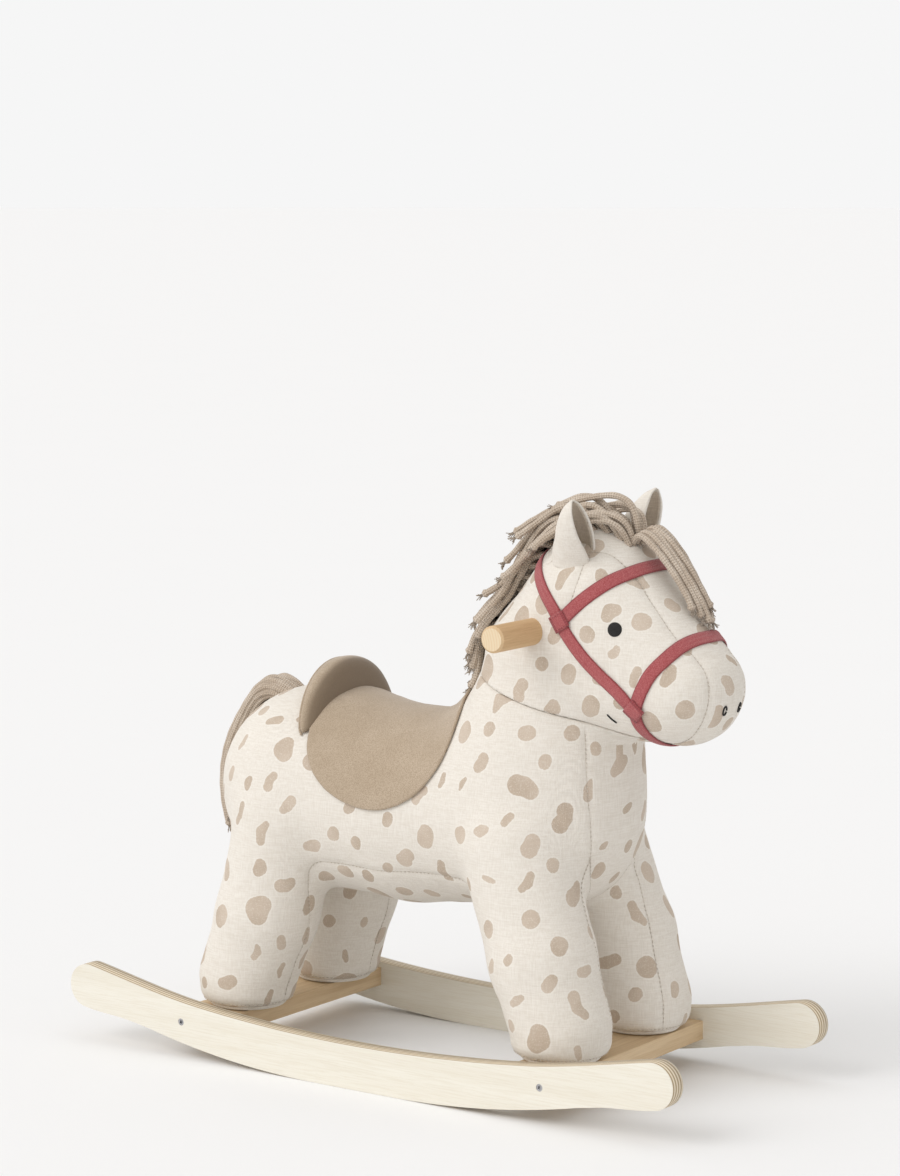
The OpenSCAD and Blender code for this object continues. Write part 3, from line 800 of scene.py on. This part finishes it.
def cover(name, field, low, high, pitch, guides, panels, seed, nodes, middle_seams=()):
    """A stuffed cotton cover: skin, print, sewn seams that pull in, and their thread."""
    points, faces = skin(field, low, high, pitch)
    normals, _ = slope(field, points)
    lines = seam_lines(field, guides)
    lines += [evenly(settle(field, curve_through(seam)), 2.0) for seam in middle_seams]
    seam = seam_distance(field, points, lines)
    spots = spot_distance(points, normals, [panel(points) for panel in panels], seed)
    puckers = (0.22 + 0.5 * np.exp(-(seam / 9) ** 2)) * lumps(points, 15, (9, 0, 0))
    shift = 0.55 * lumps(points, 42) + puckers - SEAM_SINK * np.exp(-(seam / SEAM_REACH) ** 2)
    piece = make_piece(name + "_cover", points + normals * shift[:, None], faces, COTTON,
                       nodes)
    write_values(piece, print=spots, seam=seam)
    thread = Shape()
    for line in lines:
        stitches(thread, field, line, 0.35 - SEAM_SINK)
    make_shape(name + "_seam_stitches", thread, SEAM_THREAD)


def add_body():
    cover(
        "body", body_field, (-140, -262, 36), (140, 262, 404), 2.7, BODY_SEAMS,
        (lambda p: np.maximum(np.abs(p[:, 0]) - 47, p[:, 1] + 150),
         lambda p: np.maximum(p[:, 2] - 196, np.abs(p[:, 1]) - 108)),
        11, ["torso", "belly_panel"] + [f"leg_{e}_{s}" for e in LEGS for s, _ in SIDES],
        [BACK_SEAM])


def add_head():
    cover(
        "head", head_field, (-76, -342, 322), (76, -60, 542), 2.4, HEAD_SEAMS,
        (lambda p: np.maximum(np.abs(p[:, 0]) - 25, p[:, 1] + 205),), 8, ["head"])


# Radius and height of a sole's rounded edge, from the middle of its underside
SOLE_PROFILE = ((0.5, 44.1), (26, 44.1), (33, 44.3), (36, 45.0), (37.5, 46.4), (37.5, 48.6),
                (35, 50), (0.5, 50))


def add_soles():
    """Round bottoms of the feet, sewn to the legs just above the boards."""
    for end in LEGS:
        for side, sign in SIDES:
            centre = np.array((sign, 1)) * LEGS[end][0][:2]
            turns = np.linspace(0, 2 * math.pi, 72, endpoint=False)
            shape = Shape()
            shape.loft([[(*(centre + radius * np.array((math.cos(a), math.sin(a)))), z) for a in turns]
                        for radius, z in SOLE_PROFILE])
            name = f"sole_{end}_{side}"
            piece = make_shape(name + "_cover", shape, COTTON, [name])
            plain = np.full(len(shape.points), PLAIN)
            write_values(piece, print=plain, seam=plain)
            seam = Shape()
            ring = [(*(centre + 44.5 * np.array((math.cos(a), math.sin(a)))), 50.6)
                    for a in np.linspace(0, 2 * math.pi, 160)]
            ring = settle(lambda p: leg_field(p, end), ring)
            stitches(seam, lambda p: leg_field(p, end), ring, 0.3, gap=1.6)
            make_shape(name + "_stitches", seam, SEAM_THREAD)


# ---------- saddle ----------

FLAP_AT, FLAP_R = (18, 340), 82
FLAP_BACK = 88
SADDLE_T = 3.2
SEAT_RISE = 3.5
CANTLE_R, CANTLE_T, CANTLE_LEAN = 76, 27, 8
CANTLE_AT = (0, 104, 311)
CANTLE_LOW = 310
# How much thinner its two horns are
HORN_THIN = 10


def cantle_axes(points):
    """Sideways, thickness and upward coordinates of the leaning cantle."""
    turn = math.radians(CANTLE_LEAN)
    y, z = points[:, 1] - CANTLE_AT[1], points[:, 2] - CANTLE_AT[2]
    return points[:, 0], y * math.cos(turn) - z * math.sin(turn), y * math.sin(turn) + z * math.cos(turn)


def cantle_field(points):
    """A stuffed crescent with round edges, a little hollow in front."""
    across, thick, up = cantle_axes(points)
    radius = np.hypot(across, up)
    hollow = 4.0 * np.clip(1 - radius / (CANTLE_R - 14), 0, 1)
    front = -thick - CANTLE_T / 2 + hollow + HORN_THIN * np.clip(np.abs(across) / CANTLE_R, 0, 1) ** 2
    shape = smooth_max(np.maximum(front, thick - CANTLE_T / 2), radius - CANTLE_R, 13)
    shape = smooth_max(shape, 0.6 - trunk_field(points), 4)
    return smooth_max(shape, CANTLE_LOW - points[:, 2], 3)


def saddle_field(points):
    cover_at = horse_field(points)
    behind, above = points[:, 1] - FLAP_AT[0], points[:, 2] - FLAP_AT[1]
    above = np.where(behind > 0, np.minimum(above, 0), above)
    behind = np.where(behind > 0, behind * FLAP_R / FLAP_BACK, behind)
    outline = np.hypot(behind, above) - FLAP_R
    across, thick, _ = cantle_axes(points)
    edge = np.maximum(outline, thick + CANTLE_T / 2 - 8 - HORN_THIN * (across / CANTLE_R) ** 2)
    rise = np.clip((points[:, 1] - 30) / 60, 0, 1) ** 2 * np.clip((points[:, 2] - 322) / 25, 0, 1)
    half = (SADDLE_T + SEAT_RISE * rise) / 2
    sheet = np.abs(cover_at - half - 0.1) - half
    return smooth_max(sheet, edge, 2.2)


def add_saddle():
    points, faces = skin(saddle_field, (-108, -76, 250), (108, 112, 396), 1.6)
    normals, _ = slope(saddle_field, points)
    points += normals * (0.35 * lumps(points, 30) + 0.25 * lumps(points, np.array((34, 12, 34))))[:, None]
    make_piece("saddle_seat_pad", points, faces, SUEDE, ["saddle_seat"])
    points, faces = skin(cantle_field, (-86, 76, 302), (86, 134, 394), 2.0)
    normals, _ = slope(cantle_field, points)
    points += normals * (0.6 * lumps(points, 22))[:, None]
    piece = make_piece("saddle_cantle_pad", points, faces, SUEDE, ["saddle_cantle"])
    # Painted shade: the stored value rises as the cantle's face turns forwards, so its front is painted
    # darker.
    write_values(piece, nap=np.clip(-normals[:, 1] * 1.8 - 0.1, 0, 1))
    turn = math.radians(CANTLE_LEAN)
    rim = []
    for angle in np.linspace(math.radians(-12), math.radians(192), 140):
        up, back = CANTLE_R * math.sin(angle), CANTLE_T / 2 - 4
        rim.append((CANTLE_R * math.cos(angle), CANTLE_AT[1] + up * math.sin(turn) + back,
                    CANTLE_AT[2] + up * math.cos(turn)))
    rim = settle(cantle_field, [p for p in rim if p[2] > CANTLE_LOW + 3], 0.1)
    piping = Shape()
    piping.tube(rim, 1.1, 8)
    make_shape("saddle_cantle_piping", piping, SUEDE)


# ---------- ears ----------

EAR_ROWS, EAR_COLUMNS = 30, 26
# From root to tip: middle (|x|, y, z), half width, half depth, and how far it wraps around
EAR_SHAPE = (
    (45, -180, 498, 13.0, 19.5, 174),
    (47, -182, 509, 14.5, 20.5, 168),
    (53, -188, 522, 16.0, 19.5, 144),
    (60, -192, 535, 16.0, 17.5, 127),
    (66, -195, 546, 13.5, 14.0, 116),
    (70, -197, 555, 9.5, 9.5, 106),
    (73, -198, 562, 2.4, 2.4, 100),
)
EAR_TURN = 0.08
EAR_SPOT, EAR_SPOT_R = (58, -180, 517), 7.5


def ear_leaf(sign, outer, inner, margin):
    """A folded leaf that opens forwards, closed between two insets from its outside."""
    rows = smooth_rows(EAR_SHAPE, EAR_ROWS)
    if margin:
        rows = rows[:-2]
    ways = np.gradient(rows[:, :3], axis=0)
    rings = []
    for row, way in zip(rows, ways):
        way = unit(way)
        back = np.array((EAR_TURN, 1.0, 0.0))
        back = unit(back - way * (back @ way))
        aside = np.cross(back, way)
        ring = []
        for inset, order in ((outer, 1), (inner, -1)):
            half, deep = max(row[3] - inset, 0.3), max(row[4] - inset, 0.3)
            wrap = math.radians(row[5]) - margin / max(half, 4)
            for angle in np.linspace(-wrap, wrap, EAR_COLUMNS)[::order]:
                point = row[:3] + back * deep * math.cos(angle) + aside * half * math.sin(angle)
                ring.append(point * (sign, 1, 1))
        rings.append(ring)
    shape = Shape()
    shape.loft(rings)
    return shape


def add_ears():
    for side, sign in SIDES:
        shell = ear_leaf(sign, 0.0, 2.2, 0.0)
        piece = make_shape(f"ear_{side}_shell", shell, COTTON, [f"ear_{side}"])
        points = np.array(shell.points)
        x, y, z = EAR_SPOT
        spot = np.linalg.norm((points - (sign * x, y, z)) * (1, 1, 0.8), axis=1) - EAR_SPOT_R
        write_values(piece, print=np.minimum(spot, PLAIN), seam=np.full(len(points), PLAIN))
        make_shape(f"ear_{side}_inside", ear_leaf(sign, 1.9, 3.4, 1.3), LINING,
                   [f"ear_lining_{side}"])


# ---------- bridle ----------

TAPE_W, TAPE_T = 12.5, 1.6
UPPER_TAB, LOWER_TAB = (66, -181, 450), (59, -257, 374)
# Straps over the head from the right cheek to the middle, as (|x|, y, z)
BANDS = {
    "browband": (UPPER_TAB, (63, -206, 473), (51, -224, 488), (31, -237, 496), (0, -243, 499)),
    "headpiece": (UPPER_TAB, (66, -172, 463), (62, -161, 475), (52, -148, 488), (34, -136, 500),
                  (0, -128, 507)),
    "noseband": (LOWER_TAB, (59, -271, 404), (50, -283, 421), (34, -292, 433), (14, -298, 438),
                 (0, -300, 439)),
    "chin_strap": (LOWER_TAB, (51, -257, 360), (39, -260, 348), (20, -263, 339), (0, -264, 336)),
}
CHEEK = (UPPER_TAB, (65, -189, 437), (64, -204, 420), (63, -221, 405), (61, -239, 391), LOWER_TAB)


def tape(shape, path, width=TAPE_W, lift=0.15, thick=TAPE_T):
    """A woven tape along a path on the head, its edges following the surface."""
    path = evenly(path, 3.0)
    normal, _ = slope(uncut_head, path)
    aside = unit(np.cross(normal, np.gradient(path, axis=0)))
    half = width / 2
    profile = [(v * half, lift + thick * (1 - 0.35 * abs(v) ** 6)) for v in np.linspace(-1, 1, 9)]
    profile += [(half + 0.25, lift + thick * 0.4), (half - 0.3, lift), (0, lift),
                (0.3 - half, lift), (-half - 0.25, lift + thick * 0.4)]
    columns = [settle(uncut_head, path + aside * offset, height) for offset, height in profile]
    around = [offset for offset, _ in profile] + [profile[0][0]]
    shape.loft(list(np.stack(columns, axis=1)), list(run_along(path)), around)


def add_bridle():
    """Bands that go over the head, straps down the cheeks, and a sewn tab at each crossing."""
    for name, guides in BANDS.items():
        half = [(-x, y, z) for x, y, z in guides]
        path = curve_through([*half, *guides[::-1][1:]])
        shape = Shape()
        tape(shape, settle(uncut_head, path))
        make_shape(name + "_tape", shape, TAPE, [name])
    tabs, sewing = Shape(), Shape()
    for side, sign in SIDES:
        path = settle(uncut_head, curve_through([(sign * x, y, z) for x, y, z in CHEEK]))
        shape = Shape()
        tape(shape, path, lift=0.4)
        make_shape(f"cheek_strap_{side}_tape", shape, TAPE, [f"cheek_strap_{side}"])
        for end in (path[:9], path[-9:]):
            middle = end[0] if end[0][2] > 400 else end[-1]
            way = unit(end[-1] - end[0])
            patch = settle(uncut_head, [middle + way * s for s in np.linspace(-8, 8, 9)])
            tape(tabs, patch, 16.5, 1.9, 1.5)
            aside = np.cross(slope(uncut_head, middle)[0][0], way)
            for s in (-6.0, 6.0):
                row = settle(uncut_head, [middle + way * s + aside * v for v in np.linspace(-7, 7, 12)])
                stitches(sewing, uncut_head, row, 3.5, 1.9, 1.2, 0.34)
    make_shape("strap_tab_tapes", tabs, TAPE, ["strap_tabs"])
    make_shape("strap_tab_stitches", sewing, RED_THREAD)


# ---------- embroidery ----------

EYE_AT, EYE_R = (-236, 446), 6.7
NOSTRIL_AT = (12.6, -322, 374)
MOUTH = ((56, -226, 368), (53.5, -229, 364), (50.5, -233, 360))


def add_face():
    eyes = Shape()
    for sign in (-1, 1):
        middle = settle(head_field, [(sign * 60, *EYE_AT)])
        normal = slope(head_field, middle)[0][0]
        side = unit(np.cross(normal, (0, 0, 1)))
        up = np.cross(side, normal)
        rings = []
        for share in (0.02, 0.2, 0.4, 0.6, 0.78, 0.9, 0.97, 1.0, 1.0):
            ring = []
            level = -0.6 if len(rings) == 8 else 0.25 + 1.2 * (1 - share ** 4)
            for a in np.linspace(0, 2 * math.pi, 60, endpoint=False):
                flat = share * EYE_R * (math.cos(a) * side + math.sin(a) * up)
                satin = 0.16 * math.sin(2 * math.pi * (flat @ up) / 0.85) * (share < 1)
                ring.append(settle(head_field, middle[0] + flat, level + satin, 3)[0])
            rings.append(ring)
        eyes.loft(rings)
    make_shape("eye_embroidery", eyes, BLACK_THREAD, ["eyes"])
    nostrils = Shape()
    for sign in (-1, 1):
        ring = [(sign * NOSTRIL_AT[0] + 2.1 * math.cos(a), NOSTRIL_AT[1], NOSTRIL_AT[2] + 4.2 * math.sin(a))
                for a in np.linspace(0.15, 2 * math.pi - 0.15, 40)]
        nostrils.tube(settle(head_field, ring, 0.45, 8), 0.85, 8)
    make_shape("nostril_embroidery", nostrils, BLACK_THREAD, ["nostrils"])
    mouth = Shape()
    for sign in (-1, 1):
        path = settle(head_field, curve_through([(sign * x, y, z) for x, y, z in MOUTH], 1.0), 0.3)
        mouth.tube(path, [0.35] + [0.85] * (len(path) - 2) + [0.35], 8)
    make_shape("mouth_embroidery", mouth, BLACK_THREAD, ["mouth_stitches"])


# ---------- cords ----------

CORD_R = 3.1
CORD_STEP = 3.0


def lay_cords(cords, field, weight):
    """Leads cords out of their roots and along a surface.

    A cord is its root, first direction, heading, length, height above the surface, and how
    much higher its end lies."""
    place, way, heading, lengths, heights, lifts = (np.array(column, float) for column in zip(*cords))
    way = unit(way)
    paths = [place]
    for step in range(int(max(lengths) / CORD_STEP)):
        normal, value = slope(field, place)
        along = unit(heading - normal * np.sum(heading * normal, axis=1)[:, None])
        share = np.clip(step * CORD_STEP / lengths, 0, 1)
        pull = np.clip((heights + lifts * share ** 3 - value) * 0.09, -0.8, 1.1)
        goal = along + normal * pull[:, None] + np.array((0, 0, -weight)) * share[:, None]
        way = unit(way * 0.78 + unit(goal) * 0.22)
        place = place + way * CORD_STEP
        paths.append(place)
    paths = np.stack(paths, axis=1)
    return [path[:int(length / CORD_STEP) + 1] for path, length in zip(paths, lengths)]


def cord(shape, path, rng, radius=CORD_R):
    """One braided cord with a small knot and a frayed end."""
    path = evenly(path, 2.6)
    count = len(path)
    thick = np.full(count, radius) * (1 + 0.05 * np.sin(np.arange(count) * 0.9 + rng.uniform(0, 6)))
    thick[-2:] = radius * 1.35, radius * 0.8
    shape.tube(path, thick, 10, list(run_along(path)))
    end, way = path[-1], unit(path[-1] - path[-2])
    side = unit(np.cross(way, rng.normal(size=3)))
    other = np.cross(way, side)
    for k in range(9):
        angle = k * 2.4 + rng.uniform(-0.4, 0.4)
        spread = radius * rng.uniform(0.2, 0.75)
        out = math.cos(angle) * side + math.sin(angle) * other
        reach = rng.uniform(3.5, 8.0)
        bend = rng.uniform(0.25, 0.9)
        strand = [end + out * spread * 0.5 - way * 1.5, end + out * spread + way * reach * 0.5,
                  end + out * (spread + bend * reach * 0.55) + way * reach]
        shape.tube(curve_through(strand, 1.2), 0.42, 5)


def add_mane():
    """Cords sewn along the crest from the poll down to the nape, combed back."""
    rng = np.random.default_rng(7)
    crest = curve_through([(0, -228, 521), (0, -205, 530), (0, -178, 532), (0, -150, 523),
                           (0, -122, 505), (0, -100, 478), (0, -84, 445), (0, -74, 410)], 1.0)
    cords = []
    for row in range(16):
        share = row / 15
        root = crest[int(share * 0.95 * (len(crest) - 1))]
        normal = slope(uncut_head, root)[0][0]
        for column in (-1, -0.5, 0, 0.5, 1):
            sewn_at = root + (15 * column + rng.uniform(-1.5, 1.5), rng.uniform(-3, 3), 0)
            cords.append((
                settle(uncut_head, sewn_at, -2)[0],
                normal * (1.2 - 0.6 * share) * (1 - 0.4 * abs(column)) + (0.1 * column, 0.75, 0.1),
                (0.26 * column + rng.uniform(-0.16, 0.16) - 0.08, 1.0, -0.10 - 0.8 * share),
                rng.uniform(98, 140) * (1 - 0.12 * share - 0.36 * share ** 4),
                4.5 + (1 - share) ** 0.6 * (1 - 0.25 * abs(column)) * rng.uniform(3, 24),
                rng.uniform(-2, 27) * min(0.2 + 5 * share, 1.3 - 1.2 * share)))
    shape = Shape()
    for path in lay_cords(cords, horse_field, 0.5):
        cord(shape, path, rng)
    make_shape("mane_cords", shape, CORD, ["mane"])


FORELOCK = (
    ((0, -226, 520), (-1, -238, 533), (-1, -256, 524), (3, -275, 500),
     (8, -288, 476), (11, -294, 463)),
    ((-6, -224, 520), (-9, -236, 530), (-10, -253, 520), (-7, -272, 496),
     (-2, -286, 470), (0, -291, 455)),
    ((5, -224, 520), (8, -240, 533), (11, -260, 515), (13, -276, 490),
     (15, -286, 470), (18, -289, 459)),
    ((-2, -229, 519), (-4, -243, 530), (-5, -262, 512), (-2, -281, 486),
     (4, -292, 462), (5, -296, 450)),
    ((3, -230, 519), (4, -246, 529), (5, -266, 508), (8, -282, 482),
     (12, -291, 460), (13, -294, 448)),
    ((-9, -222, 519), (-13, -233, 527), (-15, -250, 517), (-13, -268, 496),
     (-9, -281, 474), (-8, -286, 462)),
)


def add_forelock():
    """Cords that fall over the forehead, each along its own route and clear of the bridle."""
    rng = np.random.default_rng(3)
    shape = Shape()
    for route in FORELOCK:
        path = curve_through(route, 2.5)
        values = uncut_head(path)
        normal, _ = slope(uncut_head, path)
        away = np.linspace(0, 1, len(path)) > 0.12
        path = path + normal * (np.maximum(6.2 - values, 0) * away)[:, None]
        cord(shape, path, rng)
    make_shape("forelock_cords", shape, CORD, ["forelock"])


def add_tail():
    """Cords sewn in a row over the rump, which arc out and hang."""
    rng = np.random.default_rng(21)
    cords = []
    for row in range(6):
        share = row / 5
        for column in (-1.5, -0.5, 0.5, 1.5):
            sewn_at = (column * 6.5 + rng.uniform(-1.5, 1.5), 176 + 26 * share, 360)
            cords.append((
                settle(uncut_body, sewn_at, -2)[0],
                (0.06 * column, 0.85, 0.50 - 0.30 * share),
                (0.02 * column, 0.55, -0.85),
                rng.uniform(188, 208) - 62 * share + rng.uniform(-14, 10),
                17 - 12 * share + rng.uniform(-1.5, 1.5),
                rng.uniform(-3, 3)))
    shape = Shape()
    for path in lay_cords(cords, uncut_body, 1.2):
        cord(shape, path, rng, 3.0)
    make_shape("tail_cords", shape, CORD, ["tail"])


# ---------- rockers ----------

KNOB_R, KNOB_Y, KNOB_Z = 21.7, 328.3, 54.5
SOLE_R, TOP_R, FLAT_HALF, ROCKER_H = 930, 1770, 45, 42
# Where the upper edge starts to rise, and where the lower edge leaves its arc
WIDENS_FROM, HEEL_FROM = 190, 248
# Lower edge in (y, z) from there to the round end, and the angle where that end starts
HEEL = ((262, 24.9), (277, 27.4), (293, 29.0), (308, 30.1), (320, 31.3))
HEEL_TURN = math.radians(-80)
SCREW_Y, SCREW_Z, SCREW_HEAD = 209, 35, 3.55


def low_edge(y):
    return SOLE_R - math.sqrt(SOLE_R ** 2 - max(y - FLAT_HALF, 0) ** 2)


def high_edge(y):
    return ROCKER_H + TOP_R - math.sqrt(TOP_R ** 2 - y ** 2)


def rocker_outline():
    """Side view of a rocker in (y, z): the band widens a little and ends round."""
    tangent = math.asin(KNOB_Y / TOP_R)
    shoulder = KNOB_Y - KNOB_R * math.sin(tangent)
    rise = KNOB_Z + KNOB_R * math.cos(tangent) - high_edge(shoulder)
    top = []
    for y in np.linspace(0, shoulder, 90):
        share = float(np.clip((y - WIDENS_FROM) / (shoulder - WIDENS_FROM), 0, 1))
        top.append((y, high_edge(y) + rise * share ** 2 * (3 - 2 * share)))
    bottom = [(y, low_edge(y)) for y in np.linspace(0, HEEL_FROM, 60)]
    heel = curve_through([(0, y, z) for y, z in (bottom[-1], *HEEL)], 2.5)[1:]
    bottom += [(float(y), float(z)) for _, y, z in heel]
    end = [(KNOB_Y + KNOB_R * math.cos(a), KNOB_Z + KNOB_R * math.sin(a))
           for a in np.linspace(math.pi / 2 + tangent, HEEL_TURN, 46)[1:]]
    half = top + end + bottom[::-1]
    return half + [(-y, z) for y, z in half[::-1][1:-1]]


def add_rocker(side, sign):
    """One plywood plate, drilled for its screws."""
    low, high = sorted((sign * INNER_X, sign * (INNER_X + ROCKER_T)))
    plate, drills = Shape(), Shape()
    plate.loft([[(x, y, z) for y, z in rocker_outline()] for x in (low, high)])
    for y in (-SCREW_Y, SCREW_Y):
        drills.tube([(x, y, SCREW_Z) for x in (low - 20, low, high, high + 20)], SCREW_HEAD, 40)
    blank, cutter = (make_object("blank", shape.points, shape.faces) for shape in (plate, drills))
    cut = blank.modifiers.new("screw holes", "BOOLEAN")
    cut.object = cutter
    cut.solver = "EXACT"
    done = bpy.data.meshes.new_from_object(blank.evaluated_get(bpy.context.evaluated_depsgraph_get()))
    for spare in (blank, cutter):
        bpy.data.objects.remove(spare)
    points = np.array([v.co for v in done.vertices]) / MM
    faces = [tuple(p.vertices) for p in done.polygons]
    piece = make_piece(f"rocker_{side}_plate", points, faces, BIRCH, [f"rocker_{side}"])
    for face in piece.data.polygons:
        face.use_smooth = abs(face.normal.x) < 0.999


# ---------- carried-over frame parts ----------

# The first word that is in a part's name gives its material
NODE_MATERIALS = {
    "screw": STEEL, "bracket": STEEL, "crossboard": PINE_BOARD, "locating_dowels": BEECH,
    "leg_post": INNER_WOOD, "seat_board": INNER_PLY, "neck_board": INNER_PLY, "handle_dowel": PINE_DOWEL,
}


def dress_frame():
    """Gives every CAD part that stays its material."""
    for name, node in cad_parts.items():
        for word, material in NODE_MATERIALS.items():
            if word in name:
                node.data.materials.clear()
                node.data.materials.append(material)
                break


def add_floor():
    turns = np.linspace(0, 2 * math.pi, 96, endpoint=False)
    mesh = bpy.data.meshes.new("floor")
    mesh.from_pydata([(60 * math.cos(a), 60 * math.sin(a), -0.0002) for a in turns], [], [tuple(range(96))])
    mesh.materials.append(floor_material())
    floor = bpy.data.objects.new("floor", mesh)
    bpy.context.collection.objects.link(floor)


add_camera()
add_world()
add_lights()
add_floor()
dress_frame()
for side_name, side_sign in SIDES:
    add_rocker(side_name, side_sign)
add_body()
add_head()
add_soles()
add_saddle()
add_ears()
add_bridle()
add_face()
add_mane()
add_forelock()
add_tail()
